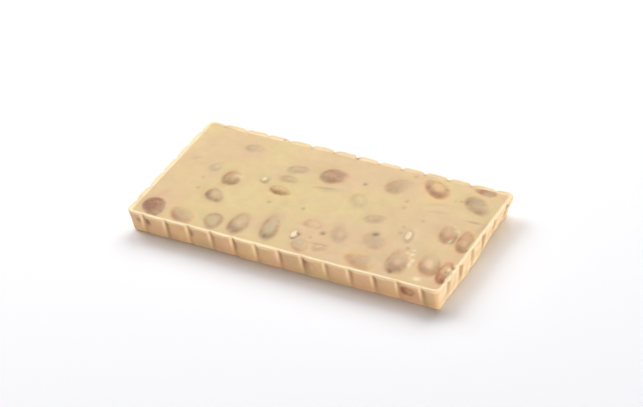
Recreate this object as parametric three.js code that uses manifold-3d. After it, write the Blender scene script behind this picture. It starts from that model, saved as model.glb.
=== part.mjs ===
// A nougat bar with whole skin-on almonds, cast in a thin ribbed tray and turned out. The tray's narrow ribs
// leave grooves up all four sides, its walls lean outwards, and the poured face has a raised lip where the
// nougat clung to them. The almonds lie in the poured face with their crowns showing, each in a pocket of
// its own shape. Millimetres, +Z up. The origin is in the middle of the flat underside, +X runs along the
// bar, and the poured face is at the top.

import * as THREE from "three";
import { mergeVertices } from "three/addons/utils/BufferGeometryUtils.js";
import Module from "manifold-3d";

// ---- Driving dimensions ---------------------------------------------------------------------------------

const GROOVE_PITCH = 14;
const GROOVES_LONG = 13; // on each long side
const GROOVES_SHORT = 6; // on each end
const END_GAP = 11; // from the last groove to the end of the bar
const LENGTH = (GROOVES_LONG - 1) * GROOVE_PITCH + 2 * END_GAP;
const WIDTH = (GROOVES_SHORT - 1) * GROOVE_PITCH + 2 * END_GAP;

const LIP_Z = 14; // height of the raised lip
const FACE_Z = 13.2; // height of the poured face inside it
const CORNER_RADIUS = 4.5;
const DRAFT = 2; // how far the walls lean in from the lip to the foot
const FOOT_RADIUS = 1.5;

const GROOVE_WIDTH = 4.2;
const GROOVE_DEPTH = 0.85;
const GROOVE_UNEVENNESS = 0.3; // how much deeper or shallower a single groove may be, as a share
const BACK_DRAG = 1.8; // how much deeper the back side's grooves tore as the bar was tipped out
const PANEL_BULGE = 0.25; // how far each panel between two grooves swells
const WAVER = 0.4; // how far the outline strays from straight
const RELIEF_AT_FOOT = 0.4; // what is left of grooves and panels at the foot, where the ribs run out

const ALMOND_FLATNESS = 0.57; // thickness over width
const ALMOND_TAPER = 0.2; // how much slimmer the pointed end is
const POCKET_GAP = 0.3;

// Each almond: its name, its middle on the poured face, its length and width, how far its point is turned
// from +X in degrees, and how far its crown stands above the face.
const BARE = 2; // skin clear of the nougat
const PROUD = 1.9;
const LEVEL = 1.4;
const SUNK = 0.8;
const ALMONDS = [
  // along the front edge, from the left
  ["almond_front_1", -82.3, -36.2, 17.5, 13.5, -60, BARE],
  ["almond_front_2", -64.2, -36.6, 20.5, 13.5, 155, LEVEL],
  ["almond_front_3", -45.4, -35.8, 16.5, 12, -70, LEVEL],
  ["almond_front_4", -31.3, -31.4, 22, 13, 96, LEVEL],
  ["almond_front_5", -13.9, -28.9, 25, 11.5, 104, LEVEL],
  ["almond_front_6", 8.4, -36.6, 12.5, 9.5, -35, LEVEL],
  ["almond_front_7", 19.4, -34.4, 11, 6.8, 20, SUNK],
  ["almond_front_8", 43.8, -36, 21, 13.5, 172, PROUD],
  ["almond_front_9", 62.6, -29.4, 23.5, 14.5, 100, PROUD],
  ["almond_front_10", 78.2, -25, 22, 12, 113, PROUD],
  // along the right end, from the front
  ["almond_right_1", 89.4, -28.6, 18, 7.4, 99, BARE],
  ["almond_right_2", 87.8, -1.5, 18.5, 9, 102, PROUD],
  ["almond_right_3", 81.3, 28.3, 22, 12.5, -35, LEVEL],
  // along the back edge, from the right
  ["almond_back_1", 79.5, 41.2, 14, 6.4, 177, SUNK],
  ["almond_back_2", 53.5, 34.8, 22, 12.5, 145, BARE],
  ["almond_back_3", 33.4, 29.8, 19, 14.5, 62, LEVEL],
  ["almond_back_4", -3, 24.4, 18.5, 14, 10, BARE],
  ["almond_back_5", -57, 31.5, 15, 9, 5, SUNK],
  // across the middle, from the left
  ["almond_middle_1", -68.5, 9, 11, 8, 60, SUNK],
  ["almond_middle_2", -55.8, 2.8, 14, 11, 100, PROUD],
  ["almond_middle_3", -56, -15, 15, 11, -40, LEVEL],
  ["almond_middle_4", -25, 22.6, 14.5, 8, 22, SUNK],
  ["almond_middle_5", -25.3, 12.9, 13.5, 8, 4, SUNK],
  ["almond_middle_6", -25, 2, 12.5, 6.5, -6, PROUD],
  ["almond_middle_7", 7.2, -18, 15.5, 10, -10, SUNK],
  ["almond_middle_8", 20, 9.5, 20, 13.5, -42, SUNK],
  ["almond_middle_9", 23, -19.6, 20.5, 12.5, 118, SUNK],
  ["almond_middle_10", 35.2, -1.4, 14.5, 9, 20, SUNK],
  ["almond_middle_11", 43, -18.8, 19, 12.5, 148, LEVEL],
  ["almond_middle_12", 76.6, 0.8, 16.5, 9.6, 115, PROUD],
];
// Broken pieces of peeled almond, given in the same way.
const CHIPS = [
  ["chip_left", -37, 8, 7.5, 5.4, 62, LEVEL],
  ["chip_middle", 1.2, -29.4, 8.5, 4.4, 95, LEVEL],
  ["chip_right", 58.4, -8.6, 12, 6, 100, LEVEL],
  ["chip_sliver", 0.2, 13, 15, 4.6, 20, SUNK],
];
// Almonds that touch the front wall: name, middle along X, height of the middle, length, width, turn, and how
// far the skin stands out of the wall.
const WALL_ALMONDS = [
  ["almond_wall_1", 18.8, 8.8, 7, 5.2, 80, 0.3],
  ["almond_wall_2", 76.2, 8.9, 10, 7, 4, 0.3],
];

// ---- The tray's outline ---------------------------------------------------------------------------------

// Where the stations stand along one side: on each groove's shoulders, flanks and floor, and in mid panel.
function stations(grooves) {
  const flanks = [-0.5, -0.3, -0.12, 0.12, 0.3, 0.5];
  const first = (-(grooves - 1) / 2) * GROOVE_PITCH;
  const found = [];
  for (let i = 0; i < grooves; i++) {
    const middle = first + i * GROOVE_PITCH;
    found.push(...flanks.map((f) => middle + f * GROOVE_WIDTH));
    if (i < grooves - 1) found.push(middle + GROOVE_PITCH / 2);
  }
  return found;
}

// How far the wall stands out of the straight side at a station: down into the grooves, out over the panels.
// Grooves are counted from the lowest X or Y, and on each side they are uneven in another way.
function relief(station, { grooves, drag, turn }) {
  const reach = ((grooves - 1) / 2) * GROOVE_PITCH;
  const place = turn < 2 ? station : -station;
  const groove = Math.round((place + reach) / GROOVE_PITCH);
  const fromGroove = Math.abs(place + reach - groove * GROOVE_PITCH);
  const half = GROOVE_WIDTH / 2;
  if (fromGroove < half) {
    const depth = GROOVE_DEPTH * drag * (1 + GROOVE_UNEVENNESS * Math.sin(13 * (groove + 5 * turn + 1)));
    return (-depth * (1 + Math.cos((Math.PI * fromGroove) / half))) / 2;
  }
  if (Math.abs(station) > reach) return 0;
  const alongPanel = (fromGroove - half) / (GROOVE_PITCH / 2 - half);
  return PANEL_BULGE * Math.sin((alongPanel * Math.PI) / 2);
}

// How far the outline strays outwards at a place on it.
function waver(x, y) {
  return WAVER * (Math.sin(x / 9 + y / 17) + Math.sin(x / 21 - y / 8 + 2)) / 2;
}

// One level of the wall, counter-clockwise from the front left corner, drawn in by inset.
function ring(inset, z, reliefShare) {
  const sides = [
    { grooves: GROOVES_LONG, half: LENGTH / 2, other: WIDTH / 2, drag: 1, turn: 0 },
    { grooves: GROOVES_SHORT, half: WIDTH / 2, other: LENGTH / 2, drag: 1, turn: 1 },
    { grooves: GROOVES_LONG, half: LENGTH / 2, other: WIDTH / 2, drag: BACK_DRAG, turn: 2 },
    { grooves: GROOVES_SHORT, half: WIDTH / 2, other: LENGTH / 2, drag: 1, turn: 3 },
  ];
  const cornerSteps = 5;
  const radius = CORNER_RADIUS - inset; // every level's corner arc turns about the same upright line
  const points = [];
  for (const side of sides) {
    const { grooves, half, other, turn } = side;
    const turned = (v) => v.clone().rotateAround(new THREE.Vector2(), (turn * Math.PI) / 2);
    // Adds a point of the side, given with the way out of the bar there, both as on the front side.
    const place = (along, out, towards) => {
      const p = turned(new THREE.Vector2(along, -out));
      p.addScaledVector(turned(towards), waver(p.x, p.y));
      points.push(new THREE.Vector3(p.x, p.y, z));
    };
    for (const station of stations(grooves)) {
      const out = other - inset + reliefShare * relief(station, side);
      place(station, out, new THREE.Vector2(0, -1));
    }
    for (let i = 0; i <= cornerSteps; i++) {
      const angle = (i / cornerSteps) * (Math.PI / 2);
      const towards = new THREE.Vector2(Math.sin(angle), -Math.cos(angle));
      place(half - CORNER_RADIUS + radius * towards.x, other - CORNER_RADIUS - radius * towards.y, towards);
    }
  }
  return points;
}

// ---- The nougat -----------------------------------------------------------------------------------------

// A closed body from rings of equally many points, the first and the last closed by flat caps.
function skin(rings) {
  const count = rings[0].length;
  const positions = rings.flat().flatMap((p) => [p.x, p.y, p.z]);
  const faces = [];
  for (let level = 0; level < rings.length - 1; level++) {
    for (let i = 0; i < count; i++) {
      const a = level * count + i;
      const b = level * count + ((i + 1) % count);
      faces.push(a, b, b + count, a, b + count, a + count);
    }
  }
  const inPlan = (points) => points.map((p) => new THREE.Vector2(p.x, p.y));
  const cap = (points) => THREE.ShapeUtils.triangulateShape(inPlan(points), []);
  for (const [a, b, c] of cap(rings[0])) faces.push(a, c, b);
  const last = (rings.length - 1) * count;
  for (const [a, b, c] of cap(rings.at(-1))) faces.push(last + a, last + b, last + c);
  const geometry = new THREE.BufferGeometry();
  geometry.setAttribute("position", new THREE.Float32BufferAttribute(positions, 3));
  geometry.setIndex(faces);
  return geometry;
}

function castBlock() {
  const shoulderZ = LIP_Z - 0.9; // where the wall turns over into the lip
  const crestInset = 1;
  const lipWidth = 2.8; // from the wall to the foot of the lip's inner slope
  const footCut = 0.3 * FOOT_RADIUS; // the foot's round is made of two straight cuts that meet here
  const wallInset = (z) => DRAFT * (1 - z / LIP_Z);
  // Each level: how far it is drawn in, its height, and the share of the grooves' relief that it keeps.
  return skin([
    ring(wallInset(0) + FOOT_RADIUS, 0, RELIEF_AT_FOOT),
    ring(wallInset(0) + footCut, footCut, RELIEF_AT_FOOT),
    ring(wallInset(FOOT_RADIUS), FOOT_RADIUS, RELIEF_AT_FOOT),
    ring(wallInset(shoulderZ), shoulderZ, 1),
    ring(crestInset, LIP_Z, 0.8),
    ring(lipWidth, FACE_Z, 0.5),
  ]);
}

// ---- The almonds ----------------------------------------------------------------------------------------

// An almond along X about its own middle, its point at +X, grown by grow all round.
function almondGeometry(length, width, grow = 0) {
  const around = 10;
  const alongIt = 7;
  const thickness = ALMOND_FLATNESS * width;
  const geometry = new THREE.SphereGeometry(1, around, alongIt).rotateZ(-Math.PI / 2);
  const position = geometry.getAttribute("position");
  for (let i = 0; i < position.count; i++) {
    const x = position.getX(i);
    const slim = 1 - ALMOND_TAPER * x;
    position.setXYZ(
      i,
      x * (length / 2 + grow),
      position.getY(i) * slim * (width / 2 + grow),
      position.getZ(i) * slim * (thickness / 2 + grow),
    );
  }
  return geometry;
}

// An almond in its place, and the pocket that the nougat needs for it.
function inlay(name, length, width, middle, rotation, material) {
  const mesh = new THREE.Mesh(almondGeometry(length, width), material);
  mesh.name = name;
  mesh.position.copy(middle);
  mesh.rotation.copy(rotation);
  mesh.updateMatrix();
  const pocket = almondGeometry(length, width, POCKET_GAP).applyMatrix4(mesh.matrix);
  return { mesh, pocket };
}

// An almond lies flat in the poured face, sunk until only its crown is above it.
function layInFace([name, x, y, length, width, turn, crown], material) {
  const middle = new THREE.Vector3(x, y, FACE_Z + crown - (ALMOND_FLATNESS * width) / 2);
  const rotation = new THREE.Euler(0, 0, THREE.MathUtils.degToRad(turn));
  return inlay(name, length, width, middle, rotation, material);
}

// An almond stands on edge behind the front wall, with a little of its flat side out of it.
function layInWall([name, x, z, length, width, turn, proud], material) {
  const wallY = DRAFT * (1 - z / LIP_Z) - WIDTH / 2 - PANEL_BULGE - waver(x, -WIDTH / 2);
  const middle = new THREE.Vector3(x, wallY - proud + (ALMOND_FLATNESS * width) / 2, z);
  const rotation = new THREE.Euler(Math.PI / 2, THREE.MathUtils.degToRad(-turn), 0, "YXZ");
  return inlay(name, length, width, middle, rotation, material);
}

// ---- Cutting the pockets --------------------------------------------------------------------------------

const wasm = await Module();
wasm.setup();

function toSolid(geometry) {
  const bare = geometry.clone();
  bare.deleteAttribute("normal");
  bare.deleteAttribute("uv");
  const merged = mergeVertices(bare, 1e-4);
  return new wasm.Manifold(
    new wasm.Mesh({
      numProp: 3,
      vertProperties: new Float32Array(merged.getAttribute("position").array),
      triVerts: new Uint32Array(merged.index.array),
    }),
  );
}

function toGeometry(solid) {
  const mesh = solid.getMesh();
  const geometry = new THREE.BufferGeometry();
  geometry.setAttribute("position", new THREE.BufferAttribute(mesh.vertProperties, 3));
  geometry.setIndex(new THREE.BufferAttribute(mesh.triVerts, 1));
  geometry.computeVertexNormals();
  return geometry;
}

// ---- The bar --------------------------------------------------------------------------------------------

const nougat = new THREE.MeshStandardMaterial({ color: 0xe6cd9f, roughness: 0.42, metalness: 0 });
const almondSkin = new THREE.MeshStandardMaterial({ color: 0xa9765a, roughness: 0.55, metalness: 0 });
const peeledAlmond = new THREE.MeshStandardMaterial({ color: 0xf3e2bd, roughness: 0.5, metalness: 0 });

const inlays = [
  ...ALMONDS.map((almond) => layInFace(almond, almondSkin)),
  ...CHIPS.map((chip) => layInFace(chip, peeledAlmond)),
  ...WALL_ALMONDS.map((almond) => layInWall(almond, almondSkin)),
];

const pockets = wasm.Manifold.union(inlays.map(({ pocket }) => toSolid(pocket)));
const block = new THREE.Mesh(toGeometry(toSolid(castBlock()).subtract(pockets)), nougat);
block.name = "nougat";

const bar = new THREE.Group();
bar.add(block, ...inlays.map(({ mesh }) => mesh));

export default bar;
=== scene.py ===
import math
from collections import namedtuple

import bpy
import numpy as np
from mathutils import Matrix, Vector


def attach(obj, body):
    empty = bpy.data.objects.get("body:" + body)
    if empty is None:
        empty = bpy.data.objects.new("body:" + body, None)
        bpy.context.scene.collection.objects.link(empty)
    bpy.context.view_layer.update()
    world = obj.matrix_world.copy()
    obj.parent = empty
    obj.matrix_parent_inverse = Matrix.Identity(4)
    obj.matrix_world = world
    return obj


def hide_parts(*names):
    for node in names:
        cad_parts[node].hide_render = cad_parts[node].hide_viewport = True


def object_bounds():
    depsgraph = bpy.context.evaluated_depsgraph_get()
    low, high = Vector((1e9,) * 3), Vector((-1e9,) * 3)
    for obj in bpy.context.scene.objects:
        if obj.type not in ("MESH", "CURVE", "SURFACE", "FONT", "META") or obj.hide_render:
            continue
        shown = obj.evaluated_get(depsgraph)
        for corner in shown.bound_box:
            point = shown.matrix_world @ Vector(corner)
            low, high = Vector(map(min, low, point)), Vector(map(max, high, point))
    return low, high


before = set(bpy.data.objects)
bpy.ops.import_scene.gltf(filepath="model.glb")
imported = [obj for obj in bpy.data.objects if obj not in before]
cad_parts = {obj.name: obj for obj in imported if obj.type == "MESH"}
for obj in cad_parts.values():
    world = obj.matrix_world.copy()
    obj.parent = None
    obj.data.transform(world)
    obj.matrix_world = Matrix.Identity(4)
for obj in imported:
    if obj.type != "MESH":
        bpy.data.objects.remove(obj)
cad_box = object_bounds()

# ---- Whole almonds ---------------------------------------------------------------------------------------
# Sweet almonds in their papery brown skins, stirred whole into the warm nougat before it is poured. They lie
# flat in the poured face, and the nougat clings to them in a thin film that lets the skin show through.

mm = 0.001

# How an almond shows at its edge and on its crown, from 0 for nougat alone to 1 for bare skin, how far out
# its edge starts to show, from 0 at the middle to 1 at the outline, how red its skin is, from 0 for brown to
# 1 for chestnut red, and how much more of it shows on its near left side, a painted shade away from the
# light.
Look = namedtuple("Look", "at_edge on_crown edge_starts redness on_near_left")
almond_looks = {
    "almond_front_1": Look(0.84, 0.94, 0.50, 0.30, 0.10),
    "almond_front_2": Look(0.50, 0.36, 0.30, 0.85, 0.50),
    "almond_front_3": Look(0.58, 0.18, 0.25, 0.30, 0.10),
    "almond_front_4": Look(0.52, 0.22, 0.25, 0.30, 0.30),
    "almond_front_5": Look(0.56, 0.20, 0.25, 0.20, 0.10),
    "almond_front_6": Look(0.42, 0.10, 0.50, 0.70, 0.20),
    "almond_front_7": Look(0.26, 0.22, 0.10, 0.80, 0.00),
    "almond_front_8": Look(0.30, 0.26, 0.10, 1.00, 0.90),
    "almond_front_9": Look(0.46, 0.22, 0.20, 0.60, 0.45),
    "almond_front_10": Look(0.36, 0.28, 0.30, 1.00, 0.60),
    "almond_right_1": Look(0.66, 0.40, 0.10, 0.95, 0.30),
    "almond_right_2": Look(0.52, 0.48, 0.10, 0.95, 0.20),
    "almond_right_3": Look(0.54, 0.32, 0.20, 0.30, 0.30),
    "almond_back_1": Look(0.68, 0.74, 0.10, 0.95, 0.00),
    "almond_back_2": Look(0.52, 0.26, 0.20, 1.00, 0.50),
    "almond_back_3": Look(0.38, 0.28, 0.10, 0.50, 0.20),
    "almond_back_4": Look(0.54, 0.58, 0.10, 0.40, 0.20),
    "almond_back_5": Look(0.24, 0.20, 0.10, 0.30, 0.00),
    "almond_middle_1": Look(0.14, 0.12, 0.10, 0.20, 0.00),
    "almond_middle_2": Look(0.60, 0.50, 0.20, 0.40, 0.35),
    "almond_middle_3": Look(0.50, 0.20, 0.20, 0.30, 0.70),
    "almond_middle_4": Look(0.34, 0.28, 0.10, 0.10, 0.00),
    "almond_middle_5": Look(0.36, 0.32, 0.10, 0.40, 0.00),
    "almond_middle_6": Look(0.46, 0.44, 0.10, 1.00, 0.20),
    "almond_middle_7": Look(0.24, 0.18, 0.10, 0.80, 0.00),
    "almond_middle_8": Look(0.18, 0.18, 0.10, 0.50, 0.00),
    "almond_middle_9": Look(0.28, 0.22, 0.10, 0.40, 0.20),
    "almond_middle_10": Look(0.24, 0.34, 0.10, 0.25, 0.00),
    "almond_middle_11": Look(0.32, 0.24, 0.10, 0.40, 0.20),
    "almond_middle_12": Look(0.40, 0.38, 0.10, 0.80, 0.25),
    "almond_wall_1": Look(0.36, 0.30, 0.10, 0.60, 0.00),
    "almond_wall_2": Look(0.70, 0.60, 0.10, 0.70, 0.30),
}


def put(tree, kind, inputs=None, **settings):
    """A node of that kind, with its inputs set to values or linked to the sockets given."""
    node = tree.nodes.new(kind)
    for name, value in settings.items():
        setattr(node, name, value)
    for name, value in (inputs or {}).items():
        if isinstance(value, bpy.types.NodeSocket):
            tree.links.new(value, node.inputs[name])
        else:
            node.inputs[name].default_value = value
    return node


def calc(tree, operation, *values, clamp=False):
    """The result of a Math node."""
    inputs = dict(enumerate(values))
    return put(tree, "ShaderNodeMath", inputs, operation=operation, use_clamp=clamp).outputs[0]


def scaled(tree, vector, factor):
    """A vector or colour times a number, or times another vector."""
    return put(tree, "ShaderNodeVectorMath", {0: vector, 1: factor}, operation="MULTIPLY").outputs[0]


def tinted(tree, share, first, second):
    """The result of mixing two colours, with that share of the second."""
    node = put(tree, "ShaderNodeMix", data_type="RGBA")
    for socket, value in ((node.inputs[0], share), (node.inputs[6], first), (node.inputs[7], second)):
        if isinstance(value, bpy.types.NodeSocket):
            tree.links.new(value, socket)
        else:
            socket.default_value = (*value, 1.0)
    return node.outputs[2]


def between(tree, value, low, high):
    """A value's place between two others, eased and kept from 0 to 1."""
    inputs = {"Value": value, "From Min": low, "From Max": high}
    return put(tree, "ShaderNodeMapRange", inputs, interpolation_type="SMOOTHSTEP").outputs["Result"]


def with_sockets(tree, inputs, outputs):
    """Gives a node group its named sockets and returns its input and output nodes. An input is given by the
    number it starts from, or else by its kind."""
    for name, value in inputs.items():
        kind = {float: "NodeSocketFloat", int: "NodeSocketInt"}.get(type(value), value)
        socket = tree.interface.new_socket(name, in_out="INPUT", socket_type=kind)
        if kind != value:
            socket.default_value = value
    for name, kind in outputs.items():
        tree.interface.new_socket(name, in_out="OUTPUT", socket_type=kind)
    return tree.nodes.new("NodeGroupInput"), tree.nodes.new("NodeGroupOutput")


# What a point of any piece keeps about its colour: how much almond shows there, how red that almond is, how
# far it set against the tray, how much painted shade it gets in one of the tray's grooves, how pale it is
# from its own colour and from painted highlights, how far it is stained pink or given brownish painted shade,
# and how much painted shade it gets in a hole or fold.
masks = ("Showing", "Redness", "Wall", "Hollow", "Pale", "Stain_and_shade", "Hole")


def nougat_over_almond():
    """The colours, gloss and fine relief of the sweet: clouded cream nougat, tan where it set against the
    tray, painted highlights on its lip, painted light and shade on its walls, painted shade in holes and
    folds, and the almond skins showing through it."""
    group = bpy.data.node_groups.new("Nougat over almond", "ShaderNodeTree")
    given, result = with_sockets(
        group,
        dict.fromkeys(masks, 0.0),
        {"Color": "NodeSocketColor", "Roughness": "NodeSocketFloat", "Height": "NodeSocketFloat"},
    )
    mask = given.outputs
    yellow_cream, pink_cream = (0.715, 0.545, 0.240), (0.715, 0.503, 0.258)
    yellow_tan, pink_tan, olive_tan = (0.800, 0.545, 0.270), (0.800, 0.505, 0.290), (0.720, 0.510, 0.265)
    # Pale: the chips' own colour, and painted highlights and light. Pink: stains, and painted shade.
    pale_and_highlight, stain_and_shade_pink = (1.000, 0.790, 0.490), (0.640, 0.370, 0.230)
    milky_skin, peach_skin = (0.370, 0.190, 0.170), (1.000, 0.460, 0.200)
    brown_skin, red_skin = (0.300, 0.155, 0.088), (0.500, 0.185, 0.080)
    # Painted shade: in the grooves, and in holes and folds.
    hollow_shade, hole_darkness = (0.62, 0.52, 0.42), 0.42
    place = put(group, "ShaderNodeTexCoord").outputs["Object"]

    def noise(features_per_metre, detail=2.0, roughness=0.5):
        inputs = {"Vector": place, "Scale": features_per_metre, "Detail": detail, "Roughness": roughness}
        return put(group, "ShaderNodeTexNoise", inputs).outputs["Fac"]

    # The nougat: large and small clouds in the cream, patches in the tan, and a faint grain over both.
    clouds = calc(group, "MULTIPLY_ADD", noise(26.0), 0.75, calc(group, "MULTIPLY", noise(80.0), 0.25))
    cream = tinted(group, between(group, clouds, 0.40, 0.60), yellow_cream, pink_cream)
    tan = tinted(group, between(group, noise(75.0, 3.0), 0.35, 0.65), yellow_tan, pink_tan)
    tan = tinted(group, between(group, noise(58.0, 3.0), 0.48, 0.68), tan, olive_tan)
    nougat = tinted(group, mask["Wall"], cream, tan)
    # Pink stains, and brownish painted shade in the folds and round the chips.
    nougat = tinted(group, mask["Stain_and_shade"], nougat, stain_and_shade_pink)
    # Pale chips, painted highlights on the lip, beads and grooves, and painted light on the ends and foot.
    nougat = tinted(group, mask["Pale"], nougat, pale_and_highlight)
    # Painted shade in the grooves.
    nougat = tinted(group, mask["Hollow"], nougat, scaled(group, nougat, hollow_shade))
    grain = calc(group, "MULTIPLY_ADD", noise(1100.0), 0.06, -0.03)
    shade = calc(group, "ADD", calc(group, "MULTIPLY_ADD", noise(140.0, 3.0), 0.16, 0.92), grain)
    nougat = scaled(group, nougat, shade)

    # The skins: milky or peach under the nougat, brown or red where they are bare. The nougat over them is
    # thicker in patches and flecks, and the painted shade of a hole or fold darkens both.
    bare = between(group, mask["Showing"], 0.1, 0.6)
    brown = tinted(group, bare, milky_skin, brown_skin)
    red = tinted(group, bare, peach_skin, red_skin)
    skin = tinted(group, mask["Redness"], brown, red)
    skin_grain = calc(group, "MULTIPLY_ADD", noise(420.0, 4.0, 0.6), 0.9, 0.55)
    skin = scaled(group, skin, skin_grain)
    patches = calc(group, "MULTIPLY_ADD", between(group, noise(125.0), 0.32, 0.66), 0.70, 0.60)
    flecks = calc(group, "MULTIPLY_ADD", noise(380.0, 3.0, 0.6), 0.7, 0.65)
    showing = calc(group, "MULTIPLY", mask["Showing"], calc(group, "MULTIPLY", patches, flecks))
    quite_bare = between(group, mask["Showing"], 0.8, 1.0)
    showing = calc(group, "MINIMUM", calc(group, "MAXIMUM", showing, quite_bare), 1.0)
    uncovered = calc(group, "SUBTRACT", showing, mask["Pale"], clamp=True)
    colour = tinted(group, uncovered, nougat, skin)
    # Painted shade in holes and folds.
    colour = scaled(group, colour, calc(group, "MULTIPLY_ADD", mask["Hole"], -hole_darkness, 1.0))
    group.links.new(colour, result.inputs["Color"])

    # The finish: dull to slightly glossy, a little duller on skin, with ripples, grain and a prick in about
    # every fourth cell of a fine net.
    dull = calc(group, "MULTIPLY_ADD", noise(90.0, 3.0), 0.16, 0.44)
    group.links.new(calc(group, "MULTIPLY_ADD", showing, 0.06, dull), result.inputs["Roughness"])
    cells = put(group, "ShaderNodeTexVoronoi", {"Vector": place, "Scale": 300.0}).outputs
    chance = put(group, "ShaderNodeSeparateColor", {0: cells["Color"]}).outputs[0]
    in_prick = between(group, cells["Distance"], 0.13, 0.05)
    prick = calc(group, "MULTIPLY", calc(group, "GREATER_THAN", chance, 0.72), in_prick)
    ripples = calc(group, "MULTIPLY", noise(120.0), 0.5)
    height = calc(group, "MULTIPLY_ADD", noise(1400.0, 3.0), 0.05, ripples)
    group.links.new(calc(group, "MULTIPLY_ADD", prick, -0.5, height), result.inputs["Height"])
    return group


sweet_colours = nougat_over_almond()


def sweet_material(name, glow, wrinkles=None):
    """A soft, slightly glossy food surface in the colours of nougat over almond. Its glow is how much light
    spreads inside it."""
    material = bpy.data.materials.new(name)
    material.use_nodes = True
    tree = material.node_tree
    shader = tree.nodes["Principled BSDF"]
    colours = tree.nodes.new("ShaderNodeGroup")
    colours.node_tree = sweet_colours
    for mask in masks:
        kept = put(tree, "ShaderNodeAttribute", attribute_name=mask.lower()).outputs["Fac"]
        tree.links.new(kept, colours.inputs[mask])
    height = colours.outputs["Height"]
    if wrinkles:
        height = skin_wrinkles(tree, height, wrinkles)
    bump = put(tree, "ShaderNodeBump", {"Height": height, "Strength": 0.5, "Distance": 0.4 * mm})
    tree.links.new(colours.outputs["Color"], shader.inputs["Base Color"])
    tree.links.new(colours.outputs["Roughness"], shader.inputs["Roughness"])
    tree.links.new(bump.outputs["Normal"], shader.inputs["Normal"])
    shader.inputs["Subsurface Weight"].default_value = glow
    shader.inputs["Subsurface Radius"].default_value = (1.0, 0.5, 0.25)
    shader.inputs["Subsurface Scale"].default_value = 1.6 * mm
    shader.inputs["IOR"].default_value = 1.45
    return material


def skin_wrinkles(tree, height, strength):
    """Adds fine wrinkles that run along an almond, on its own coordinate "skin_place"."""
    lengthwise = put(tree, "ShaderNodeAttribute", attribute_name="skin_place").outputs["Vector"]
    inputs = {"Vector": lengthwise, "Scale": 1.0, "Detail": 3.0, "Roughness": 0.6}
    ridges = put(tree, "ShaderNodeTexNoise", inputs).outputs["Fac"]
    return calc(tree, "MULTIPLY_ADD", ridges, strength, height)


almond_skin = sweet_material("almond_skin", glow=0.02, wrinkles=0.35)


def unevenness(tree, place, seed, features_per_metre, detail, level, height):
    """How far a seeded noise lifts a point: not at all where it is at that level, and more above it."""
    inputs = {"Vector": place, "W": seed, "Scale": features_per_metre, "Detail": detail}
    noise = put(tree, "ShaderNodeTexNoise", inputs, noise_dimensions="4D").outputs[0]
    return calc(tree, "MULTIPLY", calc(tree, "SUBTRACT", noise, level), height)


def finish_tree(tree, geometry, material, result):
    """Ends a tree with smooth shading, a material and real geometry."""
    smooth = put(tree, "GeometryNodeSetShadeSmooth", {0: geometry}).outputs[0]
    dressed = put(tree, "GeometryNodeSetMaterial", {"Geometry": smooth, "Material": material}).outputs[0]
    real = put(tree, "GeometryNodeRealizeInstances", {"Geometry": dressed}).outputs[0]
    tree.links.new(real, result.inputs["Geometry"])
    return tree


def almond_tree():
    """Shapes a ball into an almond: drawn out along X, slimmer towards its point, lumpy, with wrinkles along
    its skin."""
    tree = bpy.data.node_groups.new("Almond", "GeometryNodeTree")
    given, result = with_sockets(
        tree,
        {
            "Length": 21 * mm,
            "Width": 13 * mm,
            "Thickness": 7.4 * mm,
            "Taper": 0.2,
            "Lumps": 0.3 * mm,
            "Wrinkles": 0.2 * mm,
            "Seed": 1.0,
            "Segments": 40,
            "Rings": 28,
            "Skin": "NodeSocketMaterial",
        },
        {"Geometry": "NodeSocketGeometry"},
    )
    size = given.outputs
    inputs = {"Segments": size["Segments"], "Rings": size["Rings"], "Radius": 1.0}
    ball = put(tree, "GeometryNodeMeshUVSphere", inputs).outputs["Mesh"]
    place = put(tree, "ShaderNodeSeparateXYZ", {0: tree.nodes.new("GeometryNodeInputPosition").outputs[0]})
    along = place.outputs["Z"]
    slim = calc(tree, "SUBTRACT", 1.0, calc(tree, "MULTIPLY", size["Taper"], along))
    drawn = {
        "X": calc(tree, "MULTIPLY", along, calc(tree, "MULTIPLY", size["Length"], 0.5)),
        "Y": calc(tree, "MULTIPLY", place.outputs["X"], calc(tree, "MULTIPLY", size["Width"], 0.5)),
        "Z": calc(tree, "MULTIPLY", place.outputs["Y"], calc(tree, "MULTIPLY", size["Thickness"], 0.5)),
    }
    for axis in "YZ":
        drawn[axis] = calc(tree, "MULTIPLY", drawn[axis], slim)
    egg = put(tree, "ShaderNodeCombineXYZ", drawn).outputs[0]
    shaped = put(tree, "GeometryNodeSetPosition", {"Geometry": ball, "Position": egg}).outputs[0]
    seed, stretched = size["Seed"], scaled(tree, egg, (0.15, 1.0, 1.0))
    lumps = unevenness(tree, egg, seed, 150.0, detail=1.0, level=0.68, height=size["Lumps"])
    wrinkles = unevenness(tree, stretched, seed, 600.0, detail=2.0, level=0.6, height=size["Wrinkles"])
    normal = tree.nodes.new("GeometryNodeInputNormal").outputs[0]
    inputs = {0: normal, "Scale": calc(tree, "ADD", lumps, wrinkles)}
    outwards = put(tree, "ShaderNodeVectorMath", inputs, operation="SCALE").outputs[0]
    uneven = put(tree, "GeometryNodeSetPosition", {"Geometry": shaped, "Offset": outwards}).outputs[0]
    return finish_tree(tree, uneven, size["Skin"], result)


def made_by(tree, piece, values):
    """Runs a Geometry Nodes tree on a piece and leaves it as a plain mesh."""
    modifier = piece.modifiers.new(tree.name, "NODES")
    modifier.node_group = tree
    for socket in tree.interface.items_tree:
        if socket.in_out == "INPUT" and socket.name in values:
            modifier[socket.identifier] = values[socket.name]
    evaluated = piece.evaluated_get(bpy.context.evaluated_depsgraph_get())
    mesh = bpy.data.meshes.new_from_object(evaluated)
    piece.modifiers.remove(modifier)
    piece.data = mesh
    mesh.name = piece.name
    return piece


def new_piece(name, mesh=None):
    """A piece with that mesh, or with an empty one, placed in the scene."""
    piece = bpy.data.objects.new(name, mesh or bpy.data.meshes.new(name))
    bpy.context.scene.collection.objects.link(piece)
    return piece


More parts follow.
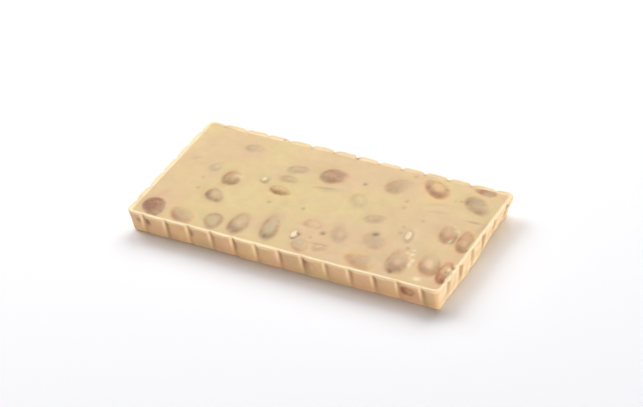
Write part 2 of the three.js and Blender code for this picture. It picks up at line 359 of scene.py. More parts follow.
def coordinates(mesh):
    """The places of a mesh's points, one to a row."""
    found = np.empty(len(mesh.vertices) * 3)
    mesh.vertices.foreach_get("co", found)
    return found.reshape(-1, 3)


def keep_value(mesh, name, values):
    """Keeps a number, or a vector, for every point of a mesh."""
    kind, field = ("FLOAT", "value") if values.ndim == 1 else ("FLOAT_VECTOR", "vector")
    layer = mesh.attributes.get(name) or mesh.attributes.new(name, kind, "POINT")
    layer.data.foreach_set(field, values.astype(np.float32).ravel())


block_middle = (np.array(cad_box[0]) + np.array(cad_box[1])) / 2
taper = 0.2  # how much slimmer than its middle an almond's point is, and how much stouter its blunt end
widest = 1.019  # an almond's greatest width, over the width that its taper starts from


def lying(node):
    """How an almond lies in the bar: its middle, its axes (to its point, across, out of the nougat) and half
    its size along each."""
    points = coordinates(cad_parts[node].data)
    middle = points.mean(0)
    axes = np.linalg.eigh(np.cov((points - middle).T))[1].T[::-1].copy()
    if axes[2] @ (middle - block_middle) < 0:
        axes[2] *= -1
    local = (points - middle) @ axes.T
    girth = np.hypot(local[:, 1], local[:, 2])
    if girth[local[:, 0] > 0].mean() > girth[local[:, 0] < 0].mean():
        axes[0] *= -1
    axes[1] = np.cross(axes[2], axes[0])
    half = abs((points - middle) @ axes.T).max(0) / (1, widest, widest)
    return {"middle": middle, "axes": axes, "half": half}


def over_almond(points, almond):
    """Where points lie on an almond: their distance above its middle plane, its skin's height above that
    plane there, and how far out they are, from 0 over the middle to 1 over the outline."""
    local = (points - almond["middle"]) @ almond["axes"].T
    u = local[:, 0] / almond["half"][0]
    slim = 1 - taper * np.clip(u, -1, 1)
    out = np.hypot(u, local[:, 1] / (almond["half"][1] * slim))
    skin = almond["half"][2] * slim * np.sqrt(np.clip(1 - out**2, 0, None))
    return local[:, 2], skin, out


def smooth_step(value, low, high):
    """Where values lie between two others, eased and kept from 0 to 1."""
    share = np.clip((value - low) / (high - low), 0, 1)
    return share * share * (3 - 2 * share)


near_left = (-0.6, -0.8)  # the way to an almond's near left side, on the face
on_skin = 0.15 * mm  # how far off an almond's skin a point still counts as on it
show_through = 1.3 * mm  # how thick the nougat over a skin is where a third of it still shows


def skin_showing(points, almond, look):
    """How much of an almond shows at points on it or in the nougat around it: from its crown to its edge,
    more on its near left side as painted shade, a little less right at its outline, and less the deeper it
    lies."""
    height, skin, out = over_almond(points, almond)
    towards_edge = smooth_step(out, look.edge_starts, 0.6 + 0.6 * look.edge_starts)
    showing = look.on_crown + (look.at_edge - look.on_crown) * towards_edge
    # Painted shade: more of the darker skin shows on the near left side, away from the light.
    towards_near_left = (points - almond["middle"])[:, :2] @ near_left / almond["half"][1]
    showing *= 1 + look.on_near_left * np.clip(towards_near_left, -1, 1)
    showing *= 1 - 0.25 * smooth_step(out, 0.75, 1.05)
    off_skin = np.clip(abs(height) - skin - on_skin, 0, None)
    beside = np.clip(out - 1, 0, None) * almond["half"][1]
    return showing * np.exp(-np.hypot(off_skin, beside) / show_through)


marks_above = 12 * mm  # marks on the poured face reach no lower than this


def cover(points, x, y, length, width, turn):
    """How strongly a soft oval mark on the poured face covers each point, from 0 to 1. Its middle, length and
    width are in mm, and its turn from +X in degrees."""
    away = (points[:, :2] - (x * mm, y * mm)) / mm
    angle = math.radians(turn)
    along = away @ (math.cos(angle), math.sin(angle)) / (length / 2)
    across = away @ (-math.sin(angle), math.cos(angle)) / (width / 2)
    return np.exp(-(along**2) - across**2) * (points[:, 2] > marks_above)


# Small raised beads on the almonds and beside them, painted white as highlights and glints: the middle,
# length, width and turn of each, as for cover, and how white its painted highlight is.
glinting_beads = [
    (67.3, -22.0, 2.6, 2.0, 20, 0.8),
    (69.6, -26.6, 2.2, 2.8, 0, 0.8),
    (69.6, -30.0, 1.8, 4.4, 10, 0.6),
    (64.7, -21.9, 2.4, 1.8, 0, 0.4),
    (66.6, -18.4, 2.4, 2.0, 0, 0.4),
    (67.2, -25.0, 1.4, 1.8, 0, 0.3),
    (81.0, -5.4, 1.6, 4.2, -25, 0.7),
    (93.0, -26.2, 1.8, 3.4, 10, 0.8),
    (92.2, -21.6, 2.0, 2.6, 0, 0.4),
    (80.6, 4.4, 2.4, 3.0, 0, 0.4),
    (78.0, -39.0, 4.0, 3.0, 0, 0.8),
    (8.0, -21.0, 5.0, 2.6, 30, 0.22),
    (-80.0, -40.6, 4.6, 3.0, 30, 0.20),
    (79.8, -27.4, 9.0, 6.0, 113, 0.28),
    (-52.6, 4.0, 4.4, 3.6, 20, 0.38),
    (91.4, -27.6, 1.6, 3.6, 0, 0.60),
]
bead_height = 0.25 * mm


def bead_glints_at(points):
    """How strongly a bead's painted highlight covers each point, the whitest first."""
    return np.max([white * cover(points, *where) for *where, white in glinting_beads], axis=0)


# Air that rose to the face and broke there: the middle and the radius of each hole in mm, and how dark its
# painted shade is.
air_holes = [
    (15.5, 24, 1.0, 1.0), (41.5, -13.8, 1.5, 1.5), (14.5, -22.8, 1.2, 1.2), (43.5, 18.5, 0.9, 0.6),
    (44.5, 13, 0.8, 0.6), (-69, -12, 0.9, 0.5), (-26, -9, 0.8, 0.6), (-5.5, -8, 0.9, 0.7),
    (1, 43.5, 0.7, 0.5), (38, 40.5, 0.7, 0.5), (71, 29, 0.7, 0.6), (68, 28, 0.6, 0.5),
    (63, -39.5, 1.0, 0.8), (60, 34.5, 0.9, 0.6), (-71, -3, 0.7, 0.5), (-45.5, 44.3, 0.7, 0.5),
    (62.5, -18, 0.9, 0.6), (53, -7.5, 0.8, 0.5), (52, -2, 0.7, 0.5), (59.5, 6, 0.7, 0.5),
    (-12.9, -37.7, 1.0, 0.9), (3.2, -28.8, 1.0, 0.8), (10, -28.5, 0.8, 0.5),
    (92.4, -24.6, 0.7, 1.0), (90.9, -30.4, 0.8, 1.0),
]
hole_depth, hole_shadow = 0.5, 1.3  # how deep a hole is and how far out it is dark, over its radius


def holes_at(points):
    """How far each point sinks into the holes, and how dark their painted shade is there."""
    depth, darkness = np.zeros(len(points)), np.zeros(len(points))
    for x, y, radius, dark in air_holes:
        wide, dark_wide = 2 * radius, 2 * hole_shadow * radius
        depth += hole_depth * radius * mm * cover(points, x, y, wide, wide, 0)
        darkness = np.maximum(darkness, dark * cover(points, x, y, dark_wide, dark_wide, 0))
    return depth, darkness


almond_shape = almond_tree()
almonds = {name: lying(name) for name in almond_looks}
skin_grain = (0.12, 0.9, 0.9)  # wrinkles to the mm along an almond, across it and through it


def lay_almond(name, almond, skin, seed, **unevenness):
    """One almond, as a mesh of its own in its place, with the beads and holes that fall on it."""
    values = dict(zip(("Length", "Width", "Thickness"), 2 * almond["half"]))
    values.update({"Taper": taper, "Seed": seed, "Skin": skin, **unevenness})
    piece = made_by(almond_shape, new_piece(name + "_nut"), values)
    local = coordinates(piece.data)
    keep_value(piece.data, "skin_place", local / mm * skin_grain + seed)
    points = local @ almond["axes"] + almond["middle"]
    beads = bead_glints_at(points)
    sunk, dark = holes_at(points)
    points[:, 2] += bead_height * beads - sunk
    piece.data.vertices.foreach_set("co", points.ravel())
    # The beads are painted white as highlights, and the holes darkened as painted shade.
    keep_value(piece.data, "pale", beads)
    keep_value(piece.data, "hole", dark)
    return piece


almond_pieces = {}
for seed, (name, almond) in enumerate(almonds.items()):
    piece = lay_almond(name, almond, almond_skin, float(seed))
    showing = skin_showing(coordinates(piece.data), almond, almond_looks[name])
    keep_value(piece.data, "showing", showing)
    keep_value(piece.data, "redness", np.full(len(showing), almond_looks[name].redness))
    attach(piece, "root")
    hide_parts(name)
    almond_pieces[name] = piece

# ---- Peeled almond chips ---------------------------------------------------------------------------------
# Slivers that broke off peeled almonds, pale and dense, caught in the poured face with an edge above it.

chip_paleness = {"chip_left": 0.6, "chip_middle": 0.9, "chip_right": 0.75, "chip_sliver": 0.2}
chips = {name: lying(name) for name in chip_paleness}
chip_redness = 0.9  # of the bit of skin that shows round a chip's edge
peeled_almond = sweet_material("peeled_almond", glow=0.05, wrinkles=0.15)
for seed, (name, chip) in enumerate(chips.items(), start=len(almonds)):
    piece = lay_almond(name, chip, peeled_almond, float(seed), Lumps=0.5 * mm, Wrinkles=0.3 * mm)
    points = coordinates(piece.data)
    # Round its edge a chip is painted browner and darker, a painted shade, with a little skin showing.
    towards_edge = smooth_step(over_almond(points, chip)[2], 0.7, 1.05)
    keep_value(piece.data, "pale", chip_paleness[name] * (1 - 0.6 * towards_edge))
    keep_value(piece.data, "showing", 0.3 * towards_edge)
    keep_value(piece.data, "redness", np.full(len(points), chip_redness))
    keep_value(piece.data, "stain_and_shade", 0.6 * towards_edge)
    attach(piece, "root")
    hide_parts(name)
    almond_pieces[name] = piece

# ---- Nougat ----------------------------------------------------------------------------------------------
# Nougat boiled to a soft, pale cream, poured into a thin tray with narrow upright ribs and turned out when
# set. The ribs leave grooves up its sides, and the poured face sinks a little inside the lip on the tray.

half_length, half_width = 95 * mm, 46 * mm
face_z = 13.2 * mm
lip_z = 14 * mm
shoulder_z = 13.4 * mm
corner_radius = 4.5 * mm
foot_radius = 1.5 * mm
draft = 2 * mm  # how much further in the wall is at the table than at the lip
crest_inset, crest_width = 0.7 * mm, 0.85 * mm  # where the lip is highest, and how far it slopes to the face
groove_pitch = 14 * mm
first_on_side, first_on_end = -84 * mm, -35 * mm
groove_on_face, groove_on_crest, groove_at_foot = 0.45, 0.8, 0.4  # what is left there of a groove's depth
grid_step = 0.7 * mm
grid_inset = 4 * mm  # where the lip's rings end and the poured face's grid starts
grid_corner = 5 * mm  # the radius of that grid at its corners
least_corner = 1 * mm


def wall_inset(z):
    """How far the wall is drawn in at a height, from the outline of the lip."""
    return draft * (1 - z / lip_z)


def bell(away, width):
    """1 at a place and less and less away from it, a third at that width."""
    return np.exp(-((away / width) ** 2))


def lip_and_wall():
    """The rings from the poured face over the lip and down the wall to the underside: how far each is drawn
    in, its height, its share of the grooves and its share of the lip's crest."""
    rings = []
    for inset in np.linspace(grid_inset, crest_inset, 7, endpoint=False)[1:]:
        slope = bell(inset - crest_inset, crest_width)
        groove_kept = groove_on_face + (groove_on_crest - groove_on_face) * slope
        rings.append((inset, face_z + (lip_z - face_z) * slope, groove_kept, slope))
    shoulder = wall_inset(shoulder_z)
    for turn in np.linspace(math.pi / 2, 0, 6):
        inset = crest_inset - (crest_inset - shoulder) * math.cos(turn)
        z = shoulder_z + (lip_z - shoulder_z) * math.sin(turn)
        groove_kept = groove_on_crest + (1 - groove_on_crest) * math.cos(turn)
        rings.append((inset, z, groove_kept, math.sin(turn)))
    for z in np.linspace(shoulder_z, foot_radius, 17)[1:]:
        up = (z - foot_radius) / (shoulder_z - foot_radius)
        rings.append((wall_inset(z), z, groove_at_foot + (1 - groove_at_foot) * up, 0.0))
    for turn in np.linspace(0, math.pi / 2, 6)[1:]:
        z = foot_radius * (1 - math.sin(turn))
        rings.append((wall_inset(z) + foot_radius * (1 - math.cos(turn)), z, groove_at_foot, 0.0))
    rings.append((wall_inset(0) + 3 * foot_radius, 0.0, 0.0, 0.0))
    return rings


def round_corners(x, y, half_x, half_y, radius):
    """Moves the points of a rectangular grid so that its outline gets round corners."""
    p = (abs(x) - (half_x - radius)) / radius
    q = (abs(y) - (half_y - radius)) / radius
    in_corner = (p > 0) & (q > 0)
    reach = np.where(in_corner, np.maximum(p, q), 1)
    lesser = np.where(in_corner, np.minimum(p, q), 0) / reach
    angle = np.where(p >= q, lesser, 2 - lesser) * math.pi / 4
    corner_x = np.sign(x) * (half_x - radius + radius * reach * np.cos(angle))
    corner_y = np.sign(y) * (half_y - radius + radius * reach * np.sin(angle))
    return np.where(in_corner, corner_x, x), np.where(in_corner, corner_y, y)


def round_corner(share, reach, radius):
    """The place and the way out at a share of the way round one corner of a ring: straight for a bit, round
    an arc of that radius, and straight again."""
    leg = reach - radius
    arc = radius * math.pi / 2
    travelled = share * (leg + arc)  # the straight bits count half, to leave more points for the arc
    first = np.clip(2 * travelled, 0, leg)
    turned = np.clip((travelled - leg / 2) / radius, 0, math.pi / 2)
    last = np.clip(2 * (travelled - leg / 2 - arc), 0, leg)
    way_out = np.column_stack([np.cos(turned), np.sin(turned)])
    place = np.column_stack([leg - last, first]) + radius * way_out
    return place, way_out


def inset_from_side(points):
    """How far points are from the outline of the lip, measured inwards."""
    past = abs(points[:, :2]) - (half_length - corner_radius, half_width - corner_radius)
    return corner_radius - np.linalg.norm(np.clip(past, 0, None), axis=1) - np.minimum(past.max(1), 0)


def plain_block():
    """The block as a fine net of points, still without its grooves."""
    face_x, face_y = half_length - grid_inset, half_width - grid_inset
    columns, rows = round(2 * face_x / grid_step) + 1, round(2 * face_y / grid_step) + 1
    x, y = np.meshgrid(np.linspace(-face_x, face_x, columns), np.linspace(-face_y, face_y, rows))
    x, y = round_corners(x, y, face_x, face_y, grid_corner)
    points = [np.stack([x, y, np.full_like(x, face_z)], -1).reshape(-1, 3)]
    fade = 2.5 * mm  # how far into the poured face the tray is still felt
    felt = points[0][:, :2]
    felt = np.sign(felt) * np.exp((abs(felt) - (face_x, face_y)) / fade)
    outwards = [felt / np.maximum(1, np.linalg.norm(felt, axis=1, keepdims=True))]
    groove_share, crest = [np.full(x.size, groove_on_face)], [np.zeros(x.size)]

    number = np.arange(x.size).reshape(rows, columns)
    faces = np.stack([number[:-1, :-1], number[:-1, 1:], number[1:, 1:], number[1:, :-1]], -1)
    faces = [faces.reshape(-1, 4)]
    edge = np.concatenate([number[0, :-1], number[:-1, -1], number[-1, :0:-1], number[:0:-1, 0]])
    rim = points[0][edge, :2]
    limit = np.array((face_x - grid_corner, face_y - grid_corner))
    core = np.clip(rim, -limit, limit)
    away = rim - core
    share = np.arctan2(abs(away[:, 1]), abs(away[:, 0])) / (math.pi / 2)
    inner = edge
    for inset, z, groove_kept, crest_share in lip_and_wall():
        reach = grid_corner + grid_inset - inset
        radius = max(corner_radius - inset, least_corner)
        if crest_share and inset > crest_inset:
            crest_radius = corner_radius - crest_inset
            radius = np.interp(inset, (crest_inset, grid_inset), (crest_radius, grid_corner))
        place, way_out = round_corner(share, reach, radius)
        ring = core + np.sign(away) * place * (abs(away) > 1e-9)
        outer = np.arange(len(edge)) + sum(map(len, points))
        points.append(np.column_stack([ring, np.full(len(ring), z)]))
        outwards.append(np.sign(away) * way_out)
        groove_share.append(np.full(len(ring), groove_kept))
        crest.append(np.full(len(ring), crest_share))
        faces.append(np.stack([inner, outer, np.roll(outer, -1), np.roll(inner, -1)], -1))
        inner = outer
    mesh = bpy.data.meshes.new("nougat_block")
    mesh.from_pydata(np.concatenate(points), [], np.concatenate(faces).tolist() + [inner[::-1].tolist()])
    outwards = np.concatenate(outwards)
    keep_value(mesh, "outwards", np.column_stack([outwards, np.zeros(len(outwards))]))
    keep_value(mesh, "groove_share", np.concatenate(groove_share))
    keep_value(mesh, "crest", np.concatenate(crest))
    return mesh


def groove_row_tree():
    """How a row of tray ribs presses into a side: the groove's share at a point, and how far the wall stands
    out there."""
    tree = bpy.data.node_groups.new("Row of grooves", "GeometryNodeTree")
    given, result = with_sockets(
        tree,
        {
            "Along": 0.0,
            "First": 0.0,
            "Pitch": groove_pitch,
            "Groove width": 4.2 * mm,
            "Groove depth": 0.85 * mm,
            "Panel bulge": 0.25 * mm,
            "Unevenness": 0.3,
            "Drag": 1.0,
            "Turn": 0.0,
        },
        {"Groove": "NodeSocketFloat", "Out": "NodeSocketFloat"},
    )
    size = given.outputs
    pitch = size["Pitch"]
    steps = calc(tree, "DIVIDE", calc(tree, "SUBTRACT", size["Along"], size["First"]), pitch)
    nearest = calc(tree, "ROUND", steps)
    past_groove = calc(tree, "MULTIPLY", calc(tree, "SUBTRACT", steps, nearest), pitch)
    from_groove = calc(tree, "ABSOLUTE", past_groove)
    # A sine of its number makes each groove a little deeper or shallower than the next.
    number = calc(tree, "ADD", calc(tree, "MULTIPLY_ADD", size["Turn"], 5.0, nearest), 1.0)
    chance = calc(tree, "SINE", calc(tree, "MULTIPLY", number, 13.0))
    uneven = calc(tree, "MULTIPLY", calc(tree, "MULTIPLY_ADD", chance, size["Unevenness"], 1.0), size["Drag"])
    half = calc(tree, "MULTIPLY", size["Groove width"], 0.5)
    across = calc(tree, "DIVIDE", from_groove, half, clamp=True)
    hill = calc(tree, "COSINE", calc(tree, "MULTIPLY", across, math.pi))
    groove = calc(tree, "MULTIPLY_ADD", hill, 0.5, 0.5)
    # The panels between the grooves bulge, apart from those past the last ones.
    reach = calc(tree, "ABSOLUTE", size["First"])
    inside = calc(tree, "LESS_THAN", calc(tree, "ABSOLUTE", size["Along"]), reach)
    panel_half = calc(tree, "SUBTRACT", calc(tree, "MULTIPLY", pitch, 0.5), half)
    on_panel = calc(tree, "DIVIDE", calc(tree, "SUBTRACT", from_groove, half), panel_half, clamp=True)
    swell = calc(tree, "SINE", calc(tree, "MULTIPLY", on_panel, math.pi / 2))
    bulge = calc(tree, "MULTIPLY", calc(tree, "MULTIPLY", swell, size["Panel bulge"]), inside)
    depth = calc(tree, "MULTIPLY", calc(tree, "MULTIPLY", groove, size["Groove depth"]), uneven)
    tree.links.new(groove, result.inputs["Groove"])
    tree.links.new(calc(tree, "SUBTRACT", bulge, depth), result.inputs["Out"])
    return tree


def tray_tree(row):
    """Presses the tray's ribs into all four sides of a plain block, lets its outline waver and its lip sag
    and tear a little."""
    tree = bpy.data.node_groups.new("Ribbed tray", "GeometryNodeTree")
    given, result = with_sockets(
        tree,
        {
            "Block": "NodeSocketGeometry",
            "First on a long side": first_on_side,
            "First on an end": first_on_end,
            "Waver": 0.4 * mm,
            "Back drag": 1.8,
            "Lip sag": 0.2 * mm,
            "Lip unevenness": 0.45 * mm,
            "Lip tearing": 0.9 * mm,
            "Wall unevenness": 0.35 * mm,
            "Seed": 3.0,
            "Nougat": "NodeSocketMaterial",
        },
        {"Geometry": "NodeSocketGeometry"},
    )
    size = given.outputs
    position = tree.nodes.new("GeometryNodeInputPosition").outputs[0]
    place = put(tree, "ShaderNodeSeparateXYZ", {0: position}).outputs

    def kept(name, kind="FLOAT"):
        return put(tree, "GeometryNodeInputNamedAttribute", {"Name": name}, data_type=kind).outputs[0]

    outwards = put(tree, "ShaderNodeSeparateXYZ", {0: kept("outwards", "FLOAT_VECTOR")}).outputs
    groove_share, crest = kept("groove_share"), kept("crest")

    def noise(features_per_metre, level, height):
        return unevenness(tree, position, size["Seed"], features_per_metre, 2.0, level, height)

    def wave(x_length, y_length, phase):
        travelled = calc(tree, "MULTIPLY_ADD", place["X"], 1 / x_length, phase)
        return calc(tree, "SINE", calc(tree, "MULTIPLY_ADD", place["Y"], 1 / y_length, travelled))

    waves = calc(tree, "ADD", wave(9 * mm, 17 * mm, 0.0), wave(21 * mm, -8 * mm, 2.0))
    waver = calc(tree, "MULTIPLY", calc(tree, "MULTIPLY", waves, 0.5), size["Waver"])
    tearing = calc(tree, "MULTIPLY", noise(190.0, 0.62, size["Lip tearing"]), crest)
    dent = calc(tree, "ADD", noise(90.0, 0.75, size["Wall unevenness"]), tearing)
    straying = calc(tree, "ADD", waver, dent)

    # On a long side, the sign of the way out tells the front from the back, and on an end the right from the
    # left. The grooves of each side are uneven in another way, and the back's are deeper.
    front_to_back = calc(tree, "SIGN", outwards["Y"])
    left_to_right = calc(tree, "SIGN", outwards["X"])
    half_drag = calc(tree, "MULTIPLY_ADD", size["Back drag"], 0.5, -0.5)
    back_drag = calc(tree, "MULTIPLY_ADD", half_drag, front_to_back, calc(tree, "ADD", half_drag, 1.0))
    sides = (
        ("X", "Y", "First on a long side", calc(tree, "ADD", front_to_back, 1.0), back_drag),
        ("Y", "X", "First on an end", calc(tree, "SUBTRACT", 2.0, left_to_right), None),
    )
    shift, dips = {}, []
    for axis, across, first, turn, drag in sides:
        node = tree.nodes.new("GeometryNodeGroup")
        node.node_tree = row
        for name, value in (("Along", place[axis]), ("First", size[first]), ("Turn", turn), ("Drag", drag)):
            if value:
                tree.links.new(value, node.inputs[name])
        out = calc(tree, "MULTIPLY_ADD", groove_share, node.outputs["Out"], straying)
        shift[across] = calc(tree, "MULTIPLY", outwards[across], out)
        felt = calc(tree, "MULTIPLY", outwards[across], outwards[across])
        dips.append(calc(tree, "MULTIPLY", felt, node.outputs["Groove"]))
    hollow = calc(tree, "ADD", dips[0], dips[1])
    lift = calc(tree, "ADD", noise(75.0, 0.5, size["Lip unevenness"]), calc(tree, "MULTIPLY", tearing, 0.5))
    sagged = calc(tree, "SUBTRACT", lift, calc(tree, "MULTIPLY", hollow, size["Lip sag"]))
    shift["Z"] = calc(tree, "MULTIPLY", sagged, crest)
    offset = put(tree, "ShaderNodeCombineXYZ", shift).outputs[0]
    pressed = put(tree, "GeometryNodeSetPosition", {"Geometry": size["Block"], "Offset": offset}).outputs[0]
    return finish_tree(tree, pressed, size["Nougat"], result)


nougat_surface = sweet_material("nougat", glow=0.25)
nougat = new_piece("nougat_slab", plain_block())
made_by(tray_tree(groove_row_tree()), nougat, {"Nougat": nougat_surface})

# The poured face: long, low waves from the pour, nougat that clings up the flanks of the almonds, and folds.
# Each wave: its least and greatest length and its height. Each fold: its middle on the face, its length,
# width and turn, as for cover, and how deep it is. Lengths are in mm.
pour_waves = [(18, 60, 0.07)] * 7 + [(7, 14, 0.03)] * 6
film = 0.12 * mm  # how far the nougat stays below an almond's skin where the skin comes out of it
drop = 20 * mm  # how steeply an almond's top falls away past its outline
chip_bareness = 0.9
foot_drawn_in = 2.5 * mm
folds = [
    (85, 15, 9, 1.6, 4, 0.35),
    (60, 22, 9, 2.2, 20, 0.15),
    (63, 16, 11, 2.0, 12, 0.15),
    (-3, 12.5, 13, 2.0, 8, 0.25),
    (-84, 12, 8, 3, 35, 0.12),
    (17.5, -32.3, 10, 1.8, 4, 0.3),
    (5, -18.8, 12, 3.0, 12, 0.2),
]
draw = np.random.default_rng(21)
shape = coordinates(nougat.data)
x, y, z = shape.T
# The waves die out towards the lip, and the nougat on the almonds does so nearer to it.
upwards = z > face_z - 0.1 * mm
inset = inset_from_side(shape)
in_face = smooth_step(inset, 1.6 * mm, 3.6 * mm) * upwards
on_top = smooth_step(inset, 0.9 * mm, 2.2 * mm) * upwards
waves = np.zeros(len(shape))
for shortest, longest, height in pour_waves:
    heading, phase = draw.uniform(0, 2 * math.pi, 2)
    wavelength = draw.uniform(shortest, longest) * mm
    travel = (x * math.cos(heading) + y * math.sin(heading)) / wavelength
    waves += height * mm * np.sin(2 * math.pi * travel + phase)
for *where, depth in folds:
    waves -= depth * mm * cover(shape, *where)
z += in_face * waves
poured = z.copy()
for name, almond in {**almonds, **chips}.items():
    lies_in_wall = almond["axes"][2][2] < 0.5
    if lies_in_wall:
        continue
    _, skin, out = over_almond(shape, almond)
    crown = almond["middle"][2] + almond["half"][2] - face_z
    bareness = almond_looks[name].at_edge if name in almond_looks else chip_bareness
    cling = min((2.8 - 2 * bareness) * mm, 1.3 * crown)
    almond_top = almond["middle"][2] + skin - film - drop * np.clip(out - 1, 0, 1)
    gap = almond_top - poured
    blend = np.clip(1 - abs(gap) / cling, 0, None) ** 2 * cling / 4
    clung = np.maximum(gap, 0) + blend
    z[:] = np.maximum(z, poured + on_top * clung)
z += (bead_height * bead_glints_at(shape) - holes_at(shape)[0]) * upwards
# Towards the back, the foot of the right end is drawn in.
drawn_in = smooth_step(y, 0, 35 * mm) * smooth_step(x, 65 * mm, 90 * mm)
x -= foot_drawn_in * drawn_in * (1 - z / lip_z) * (z < 11 * mm)
nougat.data.vertices.foreach_set("co", shape.ravel())

# The pockets that the almonds sit in are cut out of the block.
cutters = bpy.data.collections.new("pockets")
for piece in almond_pieces.values():
    cutters.objects.link(piece)
cut = nougat.modifiers.new("pockets", "BOOLEAN")
cut.operand_type, cut.operation, cut.solver = "COLLECTION", "DIFFERENCE", "MANIFOLD"
cut.collection = cutters
bpy.context.view_layer.update()
nougat.data = bpy.data.meshes.new_from_object(nougat.evaluated_get(bpy.context.evaluated_depsgraph_get()))
nougat.modifiers.clear()
bpy.data.collections.remove(cutters)
nougat.data.set_sharp_from_angle(angle=math.radians(50))

# What shows through or tints the nougat. Stains on the face are given as the folds are, with a strength.
stains = [
    (-84, -24, 9, 4, 60, 0.5),
    (-83, 44, 8, 2, 0, 0.7),
    (91, 13, 12, 3, 80, 0.6),
    (-57, 24, 12, 5, 10, 0.25),
    (25, -36, 14, 4, 10, 0.25),
    (-85, 12, 5, 3, 40, 0.25),
    (-77.4, 8.3, 6, 3, 20, 0.20),
    (-55.7, 24.4, 12, 3, 10, 0.20),
    (-16, -28, 8, 10, 0, 0.12),
    (-60, -40, 30, 16, 0, 0.12),
    (30, -25, 60, 20, 10, 0.10),
]
# Almonds close behind the front wall showing through it, painted shade on the dark flanks of the grooves near
# -54 and -26 mm, and two broad darker patches near 54 and 91.5 mm: the middle of each along the wall and
# above the table, its width and height in mm, its strength, and how red it is.
wall_skins_and_shade = [
    (-81.3, 9.6, 3.6, 5.0, 0.90, 0.2),
    (-87.1, 9.0, 3.4, 5.0, 0.75, 0.1),
    (-54.0, 9.2, 3.0, 5.0, 0.55, 0.1),
    (-26.2, 10.0, 3.0, 4.0, 0.30, 0.1),
    (16.4, 10.6, 4.6, 3.6, 0.55, 0.5),
    (77, 8.0, 15, 12, 0.35, 0.5),
    (71.8, 8.5, 2.4, 8, 0.30, 0.2),
    (91.5, 6.5, 6, 16, 0.18, 0.9),
    (54, 5, 30, 16, 0.10, 0.6),
]

chip_look = Look(at_edge=0.35, on_crown=0.35, edge_starts=0.10, redness=0.00, on_near_left=0.00)
# How much painted shade, darker and browner, a fold gets:
fold_shade, fold_shade_tint = 0.8, 2.4  # to the mm of a fold's depth
lip_reach, wall_reach = 1.2 * mm, 2.5 * mm  # how far in from the outline the lip and the wall under it reach
shape = coordinates(nougat.data)
x, y, z = shape.T
inset = inset_from_side(shape)
values = {mask.lower(): np.zeros(len(shape)) for mask in masks}


def add_mark(mask, strength):
    """Makes a mask at least that strong at every point."""
    values[mask] = np.maximum(values[mask], strength)


def show_skin(through, redness):
    """Lets a skin of that redness show wherever it is stronger than what shows there already."""
    values["redness"] = np.where(through > values["showing"], redness, values["redness"])
    add_mark("showing", through)


for name, almond in almonds.items():
    show_skin(skin_showing(shape, almond, almond_looks[name]), almond_looks[name].redness)
# Round each chip the nougat is painted paler, and browner as painted shade.
for name, chip in chips.items():
    through = chip_paleness[name] * skin_showing(shape, chip, chip_look)
    add_mark("pale", 0.4 * through)
    add_mark("stain_and_shade", 0.9 * through)
in_front = (y < 0) & (z < lip_z - 0.6 * mm) & (inset < wall_reach)
for along, above, width, tall, strength, redness in wall_skins_and_shade:
    away = ((x / mm - along) / (width / 2)) ** 2 + ((z / mm - above) / (tall / 2)) ** 2
    show_skin(strength * np.exp(-away) * in_front, redness)
for *where, strength in stains:
    add_mark("stain_and_shade", strength * cover(shape, *where))
add_mark("hole", holes_at(shape)[1])
# Painted shade in the folds.
for *where, depth in folds:
    add_mark("hole", fold_shade * depth * cover(shape, *where))
    add_mark("stain_and_shade", fold_shade_tint * depth * cover(shape, *where))

# The walls are tan up to a ragged line below the lip, and less so on the ends, which are mottled with cream
# as a painted light, like that on the lit right end, and pass into the long sides round the corners. A point
# is beside the poured face and its pockets where it is near the outline or low down.
ragged, ragged_low, ragged_high = 0.25 * mm, 12.2 * mm, 13.2 * mm
on_end = smooth_step(abs(x) - half_length - abs(y) + half_width, -1.5 * mm, 2 * mm)
beside_face = (inset < lip_reach) | (inset < wall_reach) & (z < 12.4 * mm) | (z < 11 * mm)
outside = beside_face * (z > 0.1 * mm) * (z < lip_z - 0.3 * mm)
ragged_z = z + ragged * (np.sin(x / (2.3 * mm)) + np.sin(x / (5.1 * mm) + y / (3 * mm)))
set_on_tray = beside_face * (1 - smooth_step(ragged_z, ragged_low, ragged_high))
values["wall"] = set_on_tray * (1 - 0.6 * on_end * outside)
mottle_width = 1.15 * mm
mottles = np.zeros(len(shape))
for heading, phase in draw.uniform(0, 2 * math.pi, (7, 2)):
    travel = y * math.cos(heading) + z * math.sin(heading)
    mottles += np.sin(travel / mottle_width + phase) / 3
# Painted light on the ends.
add_mark("pale", on_end * set_on_tray * outside * (0.66 + 0.26 * mottles))

# The lip and the wall just under it get a painted highlight, and the very foot a painted bright line, which
# broadens on the ends. The beads are painted white as highlights.
raised = smooth_step(z, face_z - 0.3 * mm, face_z + 0.1 * mm)
on_lip = raised * (1 - smooth_step(inset, 2.0 * mm, 3.2 * mm))
on_lip *= 0.6 + 0.4 * smooth_step(inset, 0.1 * mm, 0.5 * mm)
add_mark("pale", on_lip)
add_mark("pale", 0.8 * (1 - set_on_tray) * (inset < lip_reach))
foot_top = (1.2 + 0.8 * on_end) * mm
on_foot = smooth_step(z, 0.1 * mm, 0.5 * mm) * (1 - smooth_step(z, foot_top, foot_top + 0.8 * mm))
add_mark("pale", on_foot * (0.35 + 0.65 * on_end))
add_mark("pale", bead_glints_at(shape))


def past_a_groove(along, first):
    """How far points are past the middle of the nearest groove."""
    steps = (along - first) / groove_pitch
    return (steps - np.round(steps)) * groove_pitch


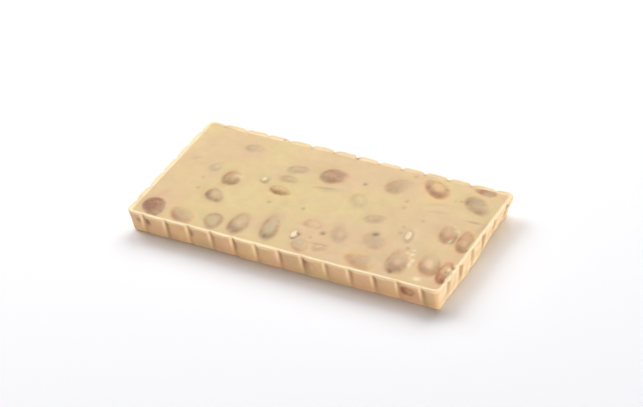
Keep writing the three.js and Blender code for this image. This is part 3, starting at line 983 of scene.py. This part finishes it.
# Each groove gets a painted highlight along one edge and painted shade just beside it, and both fade
# towards the foot.
highlight_place, highlight_width = -1.2 * mm, 0.6 * mm
shade_place, shade_width = 1.0 * mm, (1.2 + 0.6 * on_end) * mm
past_end_groove, past_side_groove = past_a_groove(y, first_on_end), past_a_groove(x, first_on_side)
past_groove = np.where(on_end > 0.5, past_end_groove, past_side_groove)
high_up = smooth_step(z, 1 * mm, 11 * mm)
groove_highlight = bell(past_groove - highlight_place, highlight_width) * outside
add_mark("pale", groove_highlight * (0.05 + 0.85 * high_up**1.5))
groove_shade = bell(past_groove - shade_place, shade_width) * (0.1 + 0.9 * high_up)
uneven = 0.8 + 0.35 * np.sin(x / (6.7 * mm)) + 0.35 * np.sin(y / (4.9 * mm))
values["hollow"] = groove_shade * uneven * outside * set_on_tray
for name, kept in values.items():
    keep_value(nougat.data, name, kept)
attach(nougat, "root")
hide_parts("nougat")

# ---- Studio ----------------------------------------------------------------------------------------------
# A white table under three large soft lights, behind the bar, to its left and overhead. Two low ones, to the
# right and in front, lighten the sides that face the camera.

floor_mesh = bpy.data.meshes.new("floor")
half_floor = 4.0
corners = [(x * half_floor, y * half_floor, 0) for x, y in ((-1, -1), (1, -1), (1, 1), (-1, 1))]
floor_mesh.from_pydata(corners, [], [(0, 1, 2, 3)])
floor = new_piece("floor", floor_mesh)
white = bpy.data.materials.new("white_table")
white.use_nodes = True
shader = white.node_tree.nodes["Principled BSDF"]
shader.inputs["Base Color"].default_value = (0.97, 0.97, 0.97, 1)
shader.inputs["Roughness"].default_value = 0.9
floor_mesh.materials.append(white)

world = bpy.data.worlds.new("studio")
world.use_nodes = True
sky = world.node_tree.nodes["Background"]
sky.inputs["Color"].default_value = (1.0, 0.84, 0.88, 1)
sky.inputs["Strength"].default_value = 0.035
bpy.context.scene.world = world
bpy.context.scene.view_settings.view_transform = "Standard"


def soft_light(name, place, size, watts, colour):
    """A soft box of that width and height, turned to the bar and not seen itself."""
    lamp = bpy.data.lights.new(name, "AREA")
    lamp.shape, lamp.size, lamp.size_y = "RECTANGLE", *size
    lamp.energy, lamp.color = watts, colour
    light = bpy.data.objects.new(name, lamp)
    light.location = place
    light.rotation_euler = (-Vector(place)).to_track_quat("-Z", "Y").to_euler()
    light.visible_camera = False
    bpy.context.scene.collection.objects.link(light)


daylight = (0.965, 0.975, 1.0)
soft_light("back", (-0.2, 1.5, 1.55), (1.8, 1.4), 35, daylight)
soft_light("left", (-1.5, 0.45, 1.5), (1.4, 1.4), 31, daylight)
soft_light("top", (-0.4, 0.5, 2.0), (1.2, 1.2), 3.5, daylight)
soft_light("right low", (2.0, -0.55, 0.30), (1.0, 0.25), 20, (1.0, 0.96, 0.97))
soft_light("front low", (1.1, -1.8, 0.30), (1.0, 0.25), 11.2, (1.0, 0.90, 0.88))

# The camera looks down on the front right corner, turned a little about its own axis.
turn_right, look_down, lean = math.radians(32.12), math.radians(36.78), math.radians(-6.245)
distance = 1.347
level = Vector((math.cos(turn_right), math.sin(turn_right), 0))
towards_camera = Vector((math.sin(turn_right), -math.cos(turn_right), 0))
back = towards_camera * math.cos(look_down) + Vector((0, 0, math.sin(look_down)))
upright = back.cross(level)
right = level * math.cos(lean) + upright * math.sin(lean)
up = back.cross(right)
camera = bpy.data.objects.new("camera", bpy.data.cameras.new("camera"))
camera.data.lens, camera.data.sensor_width = 139.6, 36.0
camera.data.shift_x, camera.data.shift_y = 0.0005, 0.0295
camera.data.clip_start = 0.05
camera.matrix_world = Matrix.Translation(back * distance) @ Matrix((right, up, back)).transposed().to_4x4()
bpy.context.scene.collection.objects.link(camera)
bpy.context.scene.camera = camera
